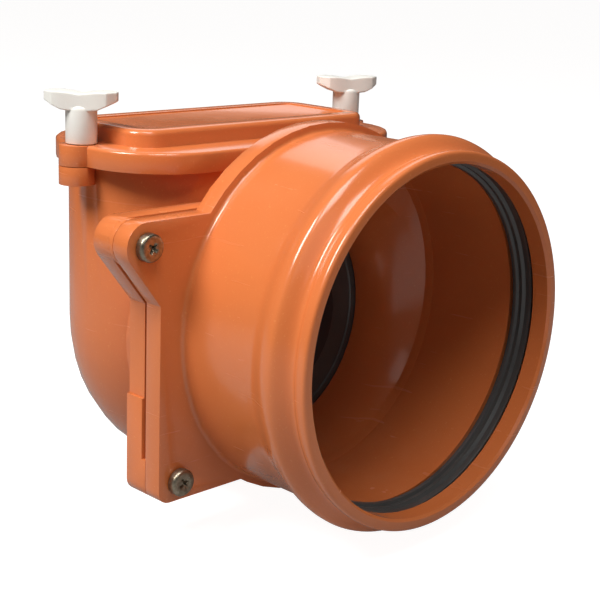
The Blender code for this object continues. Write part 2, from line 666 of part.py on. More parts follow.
def flap_outline(radius, top):
    """A round disc cut off flat below the hinge."""
    start = math.degrees(math.asin(min((top - SEAT_Z) / radius, 0.999)))
    return arc((0.0, SEAT_Z), radius, 180 - start, 360 + start, SEGMENTS - 6)


def flap_screw_places():
    """Sides and heights of the four screws through the flap."""
    return arc((0.0, SEAT_Z), FLAP_SCREW_CIRCLE, 45, 405, 4)[:-1]


def cut_flap_holes(body, x_from, x_to):
    """Screw holes through one layer of the flap."""
    for y, z in flap_screw_places():
        cut(body, rod("hole", (x_from, y, z), (x_to, y, z), FLAP_SCREW_RADIUS + RUN, 12))
    return body


SEAL_FRONT_X = SEAT_X - GAP
DISC_FRONT_X = SEAL_FRONT_X - SEAL_THICK - GAP
DISC_BACK_X = DISC_FRONT_X - DISC_THICK
RETAINER_BACK_X = SEAL_FRONT_X + GAP


def make_flap_disc(finish):
    """The flap's ribbed plate with the knuckle that turns on the pin."""
    body = across("flap_disc", flap_outline(FLAP_RADIUS, FLAP_TOP_Z), DISC_FRONT_X, DISC_BACK_X)
    ring_outer, ring_inner = FLAP_RADIUS - 2.0 * MM, FLAP_RADIUS - 5.0 * MM
    inner_top = FLAP_TOP_Z - 3.0 * MM
    rim = across("rim", flap_outline(ring_outer, FLAP_TOP_Z - MM), DISC_BACK_X + MM, DISC_BACK_X - DISC_RIB)
    cut(rim, across("inside", flap_outline(ring_inner, inner_top), DISC_BACK_X + 2 * MM, DISC_BACK_X - 2 * DISC_RIB))
    join(body, rim)
    arm_top = HINGE_Z
    for y in (-0.3 * FLAP_RADIUS, 0.0, 0.3 * FLAP_RADIUS):
        reach = math.sqrt(ring_outer ** 2 - y ** 2) - MM
        rib = [(y - MM, SEAT_Z - reach), (y + MM, SEAT_Z - reach), (y + MM, FLAP_TOP_Z - 2 * MM)]
        rib.append((y - MM, FLAP_TOP_Z - 2 * MM))
        join(body, across("rib", rib, DISC_BACK_X + MM, DISC_BACK_X - DISC_RIB))
    half = KNUCKLE_HALF
    arm = [(-half, FLAP_TOP_Z - 6 * MM), (half, FLAP_TOP_Z - 6 * MM), (half, arm_top), (-half, arm_top)]
    join(
        body,
        across("arm", arm, DISC_FRONT_X, DISC_BACK_X - MM),
        rod("knuckle", (HINGE_X, -half, HINGE_Z), (HINGE_X, half, HINGE_Z), KNUCKLE_RADIUS),
    )
    cut(body, rod("bore", (HINGE_X, -2 * half, HINGE_Z), (HINGE_X, 2 * half, HINGE_Z), PIN_RADIUS + RUN, 16))
    cut_flap_holes(body, DISC_FRONT_X + MM, DISC_BACK_X - 2 * DISC_RIB)
    return dress(body, finish)


def make_flap_seal(finish):
    """The rubber face of the flap."""
    body = across("flap_seal", flap_outline(FLAP_RADIUS, FLAP_TOP_Z), SEAL_FRONT_X, SEAL_FRONT_X - SEAL_THICK)
    return dress(cut_flap_holes(body, SEAL_FRONT_X + MM, DISC_FRONT_X), finish)


def make_flap_retainer(finish):
    """The round plate that clamps the rubber face to the flap's plate."""
    front = RETAINER_BACK_X + RETAINER_THICK
    body = solid("flap_retainer", [
        ring(RETAINER_BACK_X, RETAINER_RADIUS, SEAT_Z, segments=48),
        ring(front - 0.8 * MM, RETAINER_RADIUS, SEAT_Z, segments=48),
        ring(front, RETAINER_RADIUS - 0.8 * MM, SEAT_Z, segments=48),
    ])
    return dress(cut_flap_holes(body, front + MM, RETAINER_BACK_X - MM), finish)


def make_flap_screw(name, finish, y, z):
    """A small screw through the flap's three layers."""
    seat = RETAINER_BACK_X + RETAINER_THICK + GAP
    tail = DISC_BACK_X - DISC_RIB
    profile = [(tail, FLAP_SCREW_RADIUS), (seat, FLAP_SCREW_RADIUS), (seat, 2 * FLAP_SCREW_RADIUS)]
    profile += [(seat + 1.2 * MM, 1.9 * FLAP_SCREW_RADIUS), (seat + 2.0 * MM, 1.2 * FLAP_SCREW_RADIUS)]
    loops = [[(x, y + side, z + rise) for _, side, rise in ring(x, radius, segments=12)] for x, radius in profile]
    return dress(solid(name, loops), finish)


def make_hinge_pin(finish):
    """The pin that the flap hangs on."""
    reach = KNUCKLE_HALF + RUN + LUG_THICK + 3 * CLIP_THICK
    return dress(rod("hinge_pin", (HINGE_X, -reach, HINGE_Z), (HINGE_X, reach, HINGE_Z), PIN_RADIUS, 16), finish)


def make_hinge_clip(name, finish, side):
    """A spring clip that keeps the pin in its lugs."""
    inner = side * (KNUCKLE_HALF + RUN + LUG_THICK + GAP)
    outer = inner + side * CLIP_THICK
    body = rod(name, (HINGE_X, inner, HINGE_Z), (HINGE_X, outer, HINGE_Z), KNUCKLE_RADIUS - 0.4 * MM)
    hole = rod("hole", (HINGE_X, inner - side * MM, HINGE_Z), (HINGE_X, outer + side * MM, HINGE_Z),
               PIN_RADIUS + RUN, 16)
    return dress(cut(body, hole), finish)


def build():
    """Make every piece and hang it on its empty."""
    clear_scene()
    orange = material("orange_pvc", (0.80, 0.25, 0.07), 0.32)
    rubber = material("black_rubber", (0.015, 0.015, 0.017), 0.55)
    black = material("black_plastic", (0.02, 0.022, 0.025), 0.4)
    white = material("white_nylon", (0.86, 0.85, 0.80), 0.38)
    zinc = material("zinc_steel", (0.50, 0.46, 0.38), 0.35, 1.0)
    steel = material("stainless_steel", (0.62, 0.62, 0.61), 0.3, 1.0)
    brass = material("brass", (0.70, 0.50, 0.20), 0.3, 1.0)

    valve = empty("valve", (FOOTPRINT_X, 0.0, BASE_Z))
    valve.location = (0.0, 0.0, 0.0)
    hinge = empty("flap_hinge_axis", (HINGE_X, 0.0, HINGE_Z), valve)

    fixed = [make_chamber(orange), make_inlet_socket(orange), make_socket_seal(rubber), make_outlet_seal(rubber)]
    fixed += [make_flange_gasket(rubber), make_hinge_pin(steel)]
    for number, (y, z) in enumerate(flange_screw_places(), 1):
        fixed.append(make_flange_screw(f"flange_screw_{number}", zinc, y, z))
        fixed.append(make_flange_nut(f"flange_nut_{number}", zinc, y, z))
    for label, side in (("left", -1), ("right", 1)):
        fixed.append(make_cover_insert(f"cover_insert_{label}", brass, side))
        fixed.append(make_hinge_clip(f"hinge_clip_{label}", steel, side))
    fixed += [make_cover(orange), make_cover_gasket(rubber)]
    for piece in fixed:
        hang(piece, valve)

    for label, side in (("left", -1), ("right", 1)):
        screw = make_wing_screw(f"wing_screw_{label}", white, WING_TURN[label])
        screw.parent = valve
        top = Vector((CHAMBER_X, side * WING_Y, COVER_Z + COVER_THICK))
        screw.location = top - Vector(valve["pipe_place"])

    flap = [make_flap_disc(black), make_flap_seal(rubber), make_flap_retainer(black)]
    for number, (y, z) in enumerate(flap_screw_places(), 1):
        flap.append(make_flap_screw(f"flap_screw_{number}", steel, y, z))
    for piece in flap:
        hang(piece, hinge)


build()
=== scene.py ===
"""Studio scene of a backwater valve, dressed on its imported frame.

The valve is a moulded chamber with a bolted-on inlet socket, an access cover held
down by two wing screws, and a flap with a rubber face that hangs on a pin.
"""
import json
import logging
import math
from dataclasses import dataclass, field
from enum import Enum
from typing import Callable

import bmesh
import bpy
from mathutils import Matrix, Vector

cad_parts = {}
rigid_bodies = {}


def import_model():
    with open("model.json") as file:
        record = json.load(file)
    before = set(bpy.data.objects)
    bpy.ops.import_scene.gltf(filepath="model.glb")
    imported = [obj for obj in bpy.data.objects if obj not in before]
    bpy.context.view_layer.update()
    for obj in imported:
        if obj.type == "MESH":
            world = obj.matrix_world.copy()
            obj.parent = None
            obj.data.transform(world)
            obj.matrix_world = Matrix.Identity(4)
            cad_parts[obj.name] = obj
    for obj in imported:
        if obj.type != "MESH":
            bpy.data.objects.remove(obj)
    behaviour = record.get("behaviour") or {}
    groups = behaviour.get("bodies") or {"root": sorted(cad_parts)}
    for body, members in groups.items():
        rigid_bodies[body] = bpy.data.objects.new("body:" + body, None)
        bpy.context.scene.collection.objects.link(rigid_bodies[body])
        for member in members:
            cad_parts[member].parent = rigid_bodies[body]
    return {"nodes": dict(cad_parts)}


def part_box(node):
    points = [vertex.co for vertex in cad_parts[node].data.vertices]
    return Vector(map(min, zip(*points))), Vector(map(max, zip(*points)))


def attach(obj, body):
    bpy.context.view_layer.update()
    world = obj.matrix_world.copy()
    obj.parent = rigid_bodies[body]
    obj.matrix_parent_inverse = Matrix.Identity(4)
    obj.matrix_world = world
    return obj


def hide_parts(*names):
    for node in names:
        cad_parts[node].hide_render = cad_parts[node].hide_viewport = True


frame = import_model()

Piece = bpy.types.Object
Node = bpy.types.Node
Socket = bpy.types.NodeSocket
Tree = bpy.types.NodeTree
Colour = tuple[float, float, float]
Place = tuple[float, float, float]
Span = tuple[float, float]
Section = list[tuple[float, float]]
Test = Callable[[Vector, Vector], bool]

MM = 0.001
FULL_TURN = 2.0 * math.pi
WELD = 1e-6
COPY_WELD = 2e-6
COPY_FLATNESS = math.radians(0.4)
NEAR = 0.1 * MM
ON_PLANE = 1e-5
ALONG_PLANE = 1e-3
FACING = 0.9
LEVEL = 0.1
DAYLIGHT = (1.0, 0.99, 0.985, 1.0)

log = logging.getLogger("backwater_valve")


class Pick(Enum):
    """What an edit acts on."""

    POINTS = "VERT"
    EDGES = "EDGE"
    FACES = "FACE"


class Side(Enum):
    """The two ends of the cover, seen from the inlet."""

    LEFT = "left"
    RIGHT = "right"


# Workbench: the few moves that every piece is modelled with


def deselect_all() -> None:
    """Leave nothing selected, so that the next tool acts on its own piece."""
    for item in bpy.context.view_layer.objects:
        item.select_set(False)


def hold(piece: Piece) -> None:
    """Make one piece the only selected and active one.

    Args:
        piece: The piece to work on.
    """
    deselect_all()
    piece.select_set(True)
    bpy.context.view_layer.objects.active = piece


def enter(piece: Piece) -> None:
    """Open one piece in edit mode with nothing in it selected.

    Args:
        piece: The piece to open.
    """
    hold(piece)
    bpy.ops.object.mode_set(mode="EDIT")
    bpy.ops.mesh.select_all(action="DESELECT")


def leave() -> None:
    """Go back to object mode."""
    bpy.ops.object.mode_set(mode="OBJECT")


def drop(*pieces: Piece) -> None:
    """Take pieces that have done their work out of the scene."""
    for piece in pieces:
        bpy.data.objects.remove(piece)


def choose(piece: Piece, kind: Pick, test: Test) -> None:
    """Select the parts of an open piece that pass a test.

    Args:
        piece: The piece, in edit mode.
        kind: Points, edges or faces.
        test: Takes a place and a normal, or an edge's direction.
    """
    bpy.ops.mesh.select_mode(type=kind.value)
    bpy.ops.mesh.select_all(action="DESELECT")
    mesh = bmesh.from_edit_mesh(piece.data)
    if kind is Pick.POINTS:
        for point in mesh.verts:
            point.select = test(point.co, point.normal)
    elif kind is Pick.EDGES:
        for edge in mesh.edges:
            first, last = (point.co for point in edge.verts)
            edge.select = test((first + last) / 2, (last - first).normalized())
    else:
        for face in mesh.faces:
            face.select = test(face.calc_center_median(), face.normal)
    mesh.select_flush_mode()
    bmesh.update_edit_mesh(piece.data)


def settle(piece: Piece, name: str) -> Piece:
    """Name a piece and put its place and turn into its mesh.

    Args:
        piece: A fresh primitive or copy.
        name: Its name.

    Returns:
        The same piece, at the origin.
    """
    piece.name = name
    piece.data.name = name
    hold(piece)
    bpy.ops.object.transform_apply(location=True, rotation=True, scale=True)
    return piece


def start_rod(name: str, radius: float, low: Vector, high: Vector, sides: int) -> Piece:
    """Start a piece from a round bar between two points.

    Args:
        name: The piece's name.
        radius: The bar's radius in metres.
        low: Middle of its first end.
        high: Middle of its last end.
        sides: How many sides the bar has.

    Returns:
        The bar, with its place in its mesh.
    """
    deselect_all()
    along = high - low
    turn = along.to_track_quat("Z", "Y").to_euler()
    bpy.ops.mesh.primitive_cylinder_add(
        vertices=sides, radius=radius, depth=along.length, location=(low + high) / 2, rotation=turn
    )
    return settle(bpy.context.object, name)


def start_block(name: str, low: Vector, high: Vector) -> Piece:
    """Start a piece from a block between two corners.

    Args:
        name: The piece's name.
        low: Its lowest corner.
        high: Its highest corner.

    Returns:
        The block, with its place in its mesh.
    """
    deselect_all()
    bpy.ops.mesh.primitive_cube_add(size=1.0, location=(low + high) / 2)
    bpy.context.object.scale = high - low
    return settle(bpy.context.object, name)


def set_copy(source: Piece, name: str, place: Vector, turn: Place = (0.0, 0.0, 0.0)) -> Piece:
    """Copy a piece that was modelled on an axis of the frame, and set the copy in place.

    Args:
        source: The piece that repeats.
        name: The copy's name.
        place: How far the copy is moved.
        turn: How far it is turned about each axis before that.

    Returns:
        The copy, with its own mesh and its place in it.
    """
    hold(source)
    bpy.ops.object.duplicate(linked=False)
    piece = bpy.context.object
    piece.location = place
    piece.rotation_euler = turn
    return settle(piece, name)


def modify(piece: Piece, kind: str, **settings: object) -> None:
    """Apply one modifier to a piece.

    Args:
        piece: The piece to change.
        kind: The modifier's type.
        **settings: Its settings by name.
    """
    modifier = piece.modifiers.new(kind.title(), kind)
    for name, value in settings.items():
        setattr(modifier, name, value)
    hold(piece)
    bpy.ops.object.modifier_apply(modifier=modifier.name)


def join(piece: Piece, *others: Piece) -> None:
    """Weld other pieces into one by union and drop them.

    Args:
        piece: The piece that takes them in.
        *others: The pieces that go into it.
    """
    for other in others:
        modify(piece, "BOOLEAN", operation="UNION", solver="EXACT", object=other)
        drop(other)


def carve(piece: Piece, *tools: Piece) -> None:
    """Cut tools out of a piece and drop them.

    Args:
        piece: The piece that is cut.
        *tools: The shapes that are taken away.
    """
    for tool in tools:
        modify(piece, "BOOLEAN", operation="DIFFERENCE", solver="EXACT", object=tool)
        drop(tool)


def soften(piece: Piece, width: float, segments: int, angle: float = 40.0) -> None:
    """Round the sharp edges of a piece with an applied bevel.

    Args:
        piece: The piece to round.
        width: The bevel's width in metres.
        segments: Its steps.
        angle: How sharp an edge has to be, in degrees.
    """
    modify(
        piece, "BEVEL", width=width, segments=segments, limit_method="ANGLE",
        angle_limit=math.radians(angle), use_clamp_overlap=True,
    )


def smooth(piece: Piece, angle: float = 32.0) -> None:
    """Shade a piece smoothly, apart from its sharp edges.

    Args:
        piece: The piece to shade.
        angle: From how many degrees an edge stays sharp.
    """
    hold(piece)
    bpy.ops.object.shade_smooth_by_angle(angle=math.radians(angle))


def spun_ring(name: str, profile: Section, height: float, steps: int) -> Piece:
    """Spin a closed profile round an axis along X.

    Args:
        name: The piece's name.
        profile: Places along the axis and radii of the corners, in metres.
        height: Height of the axis.
        steps: Steps of the full turn.

    Returns:
        The closed ring.
    """
    deselect_all()
    first = Vector((profile[0][0], 0.0, height + profile[0][1]))
    bpy.ops.mesh.primitive_plane_add(size=MM, location=first)
    piece = settle(bpy.context.object, name)
    enter(piece)
    bpy.ops.mesh.select_mode(type="VERT")
    bpy.ops.mesh.select_all(action="SELECT")
    bpy.ops.mesh.merge(type="CENTER")
    last = first
    for along, radius in profile[1:]:
        corner = Vector((along, 0.0, height + radius))
        bpy.ops.mesh.extrude_region_move(TRANSFORM_OT_translate={"value": corner - last})
        last = corner
    choose(piece, Pick.POINTS, lambda at, _: min((at - first).length, (at - last).length) < WELD)
    bpy.ops.mesh.edge_face_add()
    bpy.ops.mesh.select_all(action="SELECT")
    bpy.ops.mesh.spin(steps=steps, angle=FULL_TURN, center=(0.0, 0.0, height), axis=(1.0, 0.0, 0.0))
    bpy.ops.mesh.select_all(action="SELECT")
    bpy.ops.mesh.remove_doubles(threshold=WELD)
    bpy.ops.mesh.normals_make_consistent(inside=False)
    leave()
    return piece


def eased(start: Span, end: Span, steps: int) -> Section:
    """Swing from one corner of a section to another along half a cosine wave.

    Args:
        start: The first corner.
        end: The last corner.
        steps: Number of steps.

    Returns:
        The corners, both ends included.
    """
    corners = []
    for step in range(steps + 1):
        share = step / steps
        rise = (1.0 - math.cos(math.pi * share)) / 2.0
        corners.append((start[0] + share * (end[0] - start[0]), start[1] + rise * (end[1] - start[1])))
    return corners


def reach(node: str) -> tuple[Vector, Vector]:
    """Give the lowest and highest corners of a node of the frame.

    Args:
        node: The node's name.

    Returns:
        Both corners at rest.
    """
    low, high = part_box(node)
    return Vector(low), Vector(high)


def moulded_copy(node: str, name: str) -> Piece:
    """Copy a node of the frame, merge its loose triangles and free its flat faces.

    Args:
        node: The node's name.
        name: The new piece's name.

    Returns:
        The closed copy, in the same place.
    """
    source = frame["nodes"][node]
    piece = source.copy()
    piece.data = source.data.copy()
    piece.parent = None
    for mark in list(piece.keys()):
        del piece[mark]
    piece.matrix_world = Matrix.Identity(4)
    bpy.context.scene.collection.objects.link(piece)
    piece.name = name
    piece.data.name = name
    enter(piece)
    bpy.ops.mesh.customdata_custom_splitnormals_clear()
    bpy.ops.mesh.select_all(action="SELECT")
    bpy.ops.mesh.remove_doubles(threshold=COPY_WELD)
    bpy.ops.mesh.select_all(action="SELECT")
    bpy.ops.mesh.dissolve_limited(angle_limit=COPY_FLATNESS)
    leave()
    return piece


# Finishes


class Wiring:
    """A node tree with short calls for adding and linking its nodes."""

    def __init__(self, tree: Tree) -> None:
        """Take the tree to work in."""
        self.tree = tree

    def add(self, kind: str, label: str, **settings: object) -> Node:
        """Add one node.

        Args:
            kind: The node's type.
            label: What it is for.
            **settings: Its settings by name.

        Returns:
            The node.
        """
        node = self.tree.nodes.new(kind)
        node.label = label
        for name, value in settings.items():
            setattr(node, name, value)
        return node

    def link(self, source: Socket, target: Socket) -> None:
        """Join an output to an input."""
        self.tree.links.new(source, target)

    def feed(self, target: Socket, value: Socket | float) -> None:
        """Join an output to an input, or set the input to a number.

        Args:
            target: The input.
            value: An output, or the number.
        """
        if isinstance(value, float):
            target.default_value = value
        else:
            self.link(value, target)

    def noise(self, where: Socket, scale: Socket | float, detail: float) -> Socket:
        """Add a noise texture.

        Args:
            where: The place that it reads.
            scale: Its scale, as an output or a number.
            detail: Its levels of detail.

        Returns:
            The noise, from 0 to 1.
        """
        node = self.add("ShaderNodeTexNoise", "noise")
        node.inputs["Detail"].default_value = detail
        self.link(where, node.inputs["Vector"])
        self.feed(node.inputs["Scale"], scale)
        return node.outputs["Fac"]

    def spread(self, value: Socket, start: Span, end: Span) -> Socket:
        """Map a value from one span to another, and stop it at both ends.

        Args:
            value: The value to map.
            start: The span that it comes from.
            end: The span that it goes to.

        Returns:
            The mapped value.
        """
        node = self.add("ShaderNodeMapRange", "span")
        for name, number in zip(("From Min", "From Max", "To Min", "To Max"), (*start, *end)):
            node.inputs[name].default_value = number
        self.link(value, node.inputs["Value"])
        return node.outputs["Result"]

    def reckon(self, operation: str, first: Socket, second: Socket) -> Socket:
        """Work out a sum, difference or product.

        Args:
            operation: ADD, SUBTRACT or MULTIPLY.
            first: The first value.
            second: The second value.

        Returns:
            The result.
        """
        node = self.add("ShaderNodeMath", operation.lower(), operation=operation)
        self.link(first, node.inputs[0])
        self.link(second, node.inputs[1])
        return node.outputs["Value"]

    def blend(self, label: str, factor: Socket, first: Socket | Colour, second: Socket | Colour) -> Socket:
        """Mix two colours.

        Args:
            label: What the mix is for.
            factor: The share of the second colour.
            first: The first colour, as an output or as numbers.
            second: The second colour, as an output or as numbers.

        Returns:
            The mixed colour.
        """
        node = self.add("ShaderNodeMix", label, data_type="RGBA")
        self.link(factor, node.inputs["Factor"])
        for name, colour in (("A", first), ("B", second)):
            if isinstance(colour, tuple):
                node.inputs[name].default_value = (*colour, 1.0)
            else:
                self.link(colour, node.inputs[name])
        return node.outputs["Result"]


def new_group(
    name: str, inputs: dict[str, tuple[str, object]], outputs: dict[str, str]
) -> tuple[Wiring, Node, Node]:
    """Start a shader node group with named sockets.

    Args:
        name: The group's name.
        inputs: Socket type and default by input name.
        outputs: Socket type by output name.

    Returns:
        The group's wiring, its input node and its output node.
    """
    group = bpy.data.node_groups.new(name, "ShaderNodeTree")
    for label, (kind, default) in inputs.items():
        socket = group.interface.new_socket(name=label, in_out="INPUT", socket_type=kind)
        socket.default_value = default
    for label, kind in outputs.items():
        group.interface.new_socket(name=label, in_out="OUTPUT", socket_type=kind)
    return Wiring(group), group.nodes.new("NodeGroupInput"), group.nodes.new("NodeGroupOutput")


def colour_drift() -> Tree:
    """Make the group of a base colour that clouds towards a deep and a pale tone.

    Returns:
        The group.
    """
    tree, source, result = new_group(
        "Colour drift",
        {
            "Base": ("NodeSocketColor", (0.5, 0.5, 0.5, 1.0)),
            "Deep": ("NodeSocketColor", (0.3, 0.3, 0.3, 1.0)),
            "Pale": ("NodeSocketColor", (0.7, 0.7, 0.7, 1.0)),
            "Cloud Scale": ("NodeSocketFloat", 12.0),
            "Fleck Scale": ("NodeSocketFloat", 900.0),
        },
        {"Color": "NodeSocketColor"},
    )
    place = tree.add("ShaderNodeTexCoord", "place").outputs["Object"]
    cloud = tree.noise(place, source.outputs["Cloud Scale"], 5.0)
    fleck = tree.noise(place, source.outputs["Fleck Scale"], 2.0)
    clouded = tree.spread(cloud, (0.35, 0.65), (0.55, 0.0))
    flecked = tree.spread(fleck, (0.64, 0.80), (0.0, 0.5))
    deep = tree.blend("towards deep", clouded, source.outputs["Base"], source.outputs["Deep"])
    pale = tree.blend("flecks of pale", flecked, deep, source.outputs["Pale"])
    tree.link(pale, result.inputs["Color"])
    return tree.tree


def moulded_grain() -> Tree:
    """Make the group of fine grain, slow waviness and hairline rubs of a moulded skin.

    Returns:
        The group.
    """
    tree, source, result = new_group(
        "Moulded grain",
        {
            "Grain Scale": ("NodeSocketFloat", 1400.0),
            "Grain": ("NodeSocketFloat", 0.3),
            "Wave": ("NodeSocketFloat", 0.4),
            "Rub": ("NodeSocketFloat", 0.3),
        },
        {"Height": "NodeSocketFloat", "Rubbed": "NodeSocketFloat"},
    )
    place = tree.add("ShaderNodeTexCoord", "place").outputs["Object"]
    grain = tree.noise(place, source.outputs["Grain Scale"], 3.0)
    wave = tree.noise(place, 34.0, 1.0)
    stretch = tree.add("ShaderNodeMapping", "rubs run level")
    stretch.inputs["Scale"].default_value = (22.0, 22.0, 420.0)
    stretch.inputs["Rotation"].default_value = (0.12, 0.08, 0.3)
    tree.link(place, stretch.inputs["Vector"])
    rubs = tree.spread(tree.noise(stretch.outputs["Vector"], 1.0, 6.0), (0.60, 0.78), (0.0, 1.0))
    fine = tree.reckon("MULTIPLY", grain, source.outputs["Grain"])
    slow = tree.reckon("MULTIPLY", wave, source.outputs["Wave"])
    sunk = tree.reckon("MULTIPLY", rubs, source.outputs["Rub"])
    height = tree.reckon("SUBTRACT", tree.reckon("ADD", fine, slow), sunk)
    tree.link(height, result.inputs["Height"])
    tree.link(rubs, result.inputs["Rubbed"])
    return tree.tree


def settled_dust() -> Tree:
    """Make the group of a thin uneven mask of dust on what faces up.

    Returns:
        The group.
    """
    tree, source, result = new_group(
        "Settled dust",
        {"Amount": ("NodeSocketFloat", 0.2), "Patch Scale": ("NodeSocketFloat", 60.0)},
        {"Dust": "NodeSocketFloat"},
    )
    coordinates = tree.add("ShaderNodeTexCoord", "place and facing")
    facing = tree.add("ShaderNodeSeparateXYZ", "upwards")
    tree.link(coordinates.outputs["Normal"], facing.inputs[0])
    up = tree.spread(facing.outputs["Z"], (0.55, 1.0), (0.0, 1.0))
    patch = tree.noise(coordinates.outputs["Object"], source.outputs["Patch Scale"], 6.0)
    uneven = tree.spread(patch, (0.4, 0.7), (0.15, 1.0))
    mask = tree.reckon("MULTIPLY", tree.reckon("MULTIPLY", up, uneven), source.outputs["Amount"])
    tree.link(mask, result.inputs["Dust"])
    return tree.tree


@dataclass(frozen=True)
class Groups:
    """The node groups that the finishes share."""

    drift: Tree
    grain: Tree
    dust: Tree


@dataclass(frozen=True)
class Finish:
    """One finish: its colours, its gloss and the scale of its surface."""

    name: str
    base: Colour
    deep: Colour
    pale: Colour
    gloss: Span
    metal: float = 0.0
    cloud_scale: float = 12.0
    fleck_scale: float = 900.0
    grain_scale: float = 1400.0
    grain: float = 0.3
    wave: float = 0.4
    rub: float = 0.3
    relief: float = 0.04 * MM
    dust: float = 0.1
    dust_colour: Colour = (0.62, 0.58, 0.52)
    coat: float = 0.0
    coat_roughness: float = 0.1
    ior: float = 1.5

    def make(self, groups: Groups) -> bpy.types.Material:
        """Build the material.

        Args:
            groups: The shared node groups.

        Returns:
            The material, ready for a slot.
        """
        material = bpy.data.materials.new(self.name)
        material.use_nodes = True
        material.node_tree.nodes.clear()
        tree = Wiring(material.node_tree)
        shader = tree.add("ShaderNodeBsdfPrincipled", "surface")
        output = tree.add("ShaderNodeOutputMaterial", "output")
        tree.link(shader.outputs["BSDF"], output.inputs["Surface"])
        shader.inputs["Metallic"].default_value = self.metal
        shader.inputs["IOR"].default_value = self.ior
        shader.inputs["Coat Weight"].default_value = self.coat
        shader.inputs["Coat Roughness"].default_value = self.coat_roughness
        drift = tree.add("ShaderNodeGroup", "colour", node_tree=groups.drift)
        for label, colour in (("Base", self.base), ("Deep", self.deep), ("Pale", self.pale)):
            drift.inputs[label].default_value = (*colour, 1.0)
        drift.inputs["Cloud Scale"].default_value = self.cloud_scale
        drift.inputs["Fleck Scale"].default_value = self.fleck_scale
        grain = tree.add("ShaderNodeGroup", "skin", node_tree=groups.grain)
        grain.inputs["Grain Scale"].default_value = self.grain_scale
        grain.inputs["Grain"].default_value = self.grain
        grain.inputs["Wave"].default_value = self.wave
        grain.inputs["Rub"].default_value = self.rub
        dust = tree.add("ShaderNodeGroup", "dust", node_tree=groups.dust)
        dust.inputs["Amount"].default_value = self.dust
        settled = dust.outputs["Dust"]
        colour = tree.blend("dusted colour", settled, drift.outputs["Color"], self.dust_colour)
        tree.link(colour, shader.inputs["Base Color"])
        rubbed = tree.spread(grain.outputs["Rubbed"], (0.0, 1.0), self.gloss)
        tree.link(tree.reckon("ADD", rubbed, settled), shader.inputs["Roughness"])
        bump = tree.add("ShaderNodeBump", "relief")
        bump.inputs["Strength"].default_value = 1.0
        bump.inputs["Distance"].default_value = self.relief
        tree.link(grain.outputs["Height"], bump.inputs["Height"])
        tree.link(bump.outputs["Normal"], shader.inputs["Normal"])
        return material


ORANGE_PVC = Finish(
    "orange_pvc", (0.70, 0.192, 0.054), (0.64, 0.160, 0.046), (0.80, 0.30, 0.10), (0.21, 0.34),
    cloud_scale=9.0, grain=0.10, wave=0.9, rub=0.12, relief=0.05 * MM,
    dust=0.05, dust_colour=(0.80, 0.50, 0.32), coat=0.35, coat_roughness=0.10,
)
BLACK_RUBBER = Finish(
    "black_rubber", (0.062, 0.062, 0.060), (0.046, 0.046, 0.045), (0.13, 0.13, 0.13), (0.32, 0.46),
    grain_scale=2400.0, grain=0.6, wave=0.3,
    dust=0.12, dust_colour=(0.30, 0.29, 0.27), coat=0.35, coat_roughness=0.28,
)
BLACK_PLASTIC = Finish(
    "black_plastic", (0.020, 0.024, 0.028), (0.013, 0.015, 0.018), (0.08, 0.09, 0.10), (0.30, 0.46),
    grain=0.4, wave=0.5, dust=0.12, dust_colour=(0.30, 0.29, 0.28),
)
WHITE_NYLON = Finish(
    "white_nylon", (0.86, 0.84, 0.78), (0.80, 0.77, 0.69), (0.92, 0.91, 0.87), (0.34, 0.46),
    cloud_scale=30.0, wave=0.3, rub=0.2, dust=0.05, dust_colour=(0.70, 0.66, 0.58),
)
ZINC_STEEL = Finish(
    "zinc_steel", (0.36, 0.31, 0.23), (0.12, 0.095, 0.06), (0.70, 0.66, 0.56), (0.36, 0.55),
    metal=1.0, cloud_scale=520.0, grain=1.0, wave=0.6, grain_scale=900.0, relief=0.12 * MM,
)
STAINLESS_STEEL = Finish(
    "stainless_steel", (0.60, 0.60, 0.59), (0.50, 0.50, 0.49), (0.72, 0.72, 0.71), (0.22, 0.40),
    metal=1.0, cloud_scale=120.0, grain=0.5, wave=0.1, dust=0.05,
)
BRASS = Finish(
    "brass", (0.70, 0.49, 0.20), (0.52, 0.33, 0.12), (0.80, 0.62, 0.32), (0.24, 0.44),
    metal=1.0, cloud_scale=200.0, grain=0.5, wave=0.1, dust=0.05,
)


@dataclass
class Paintshop:
    """Makes each finish once and puts it on pieces."""

    groups: Groups
    made: dict[str, bpy.types.Material] = field(default_factory=dict)

    def coat(self, piece: Piece, finish: Finish) -> None:
        """Give a piece one finish in all of its slots.

        Args:
            piece: A new piece or a node of the frame.
            finish: The finish it takes.
        """
        if finish.name not in self.made:
            self.made[finish.name] = finish.make(self.groups)
        if not piece.material_slots:
            piece.data.materials.append(self.made[finish.name])
        for slot in piece.material_slots:
            slot.material = self.made[finish.name]


# Sub-assemblies


@dataclass
class Assembly:
    """What every sub-assembly shares: a paint shop and a way to hand pieces over."""

    shop: Paintshop

    def hand_over(self, piece: Piece, body: str, finish: Finish, node: str) -> None:
        """Dress a piece, hang it on its body and report it.

        Args:
            piece: The finished piece.
            body: The moving or fixed body that carries it.
            finish: Its finish.
            node: The node of the frame that it replaces.
        """
        self.shop.coat(piece, finish)
        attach(piece, body)
        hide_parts(node)
        log.info("%s: %d faces on %s", piece.name, len(piece.data.polygons), body)

    def keep(self, finish: Finish, *nodes: str) -> None:
        """Keep nodes of the frame as they are, with a finish.

        Args:
            finish: Their finish.
            *nodes: Their names.
        """
        for node in nodes:
            self.shop.coat(frame["nodes"][node], finish)
            log.info("%s: kept, in %s", node, finish.name)


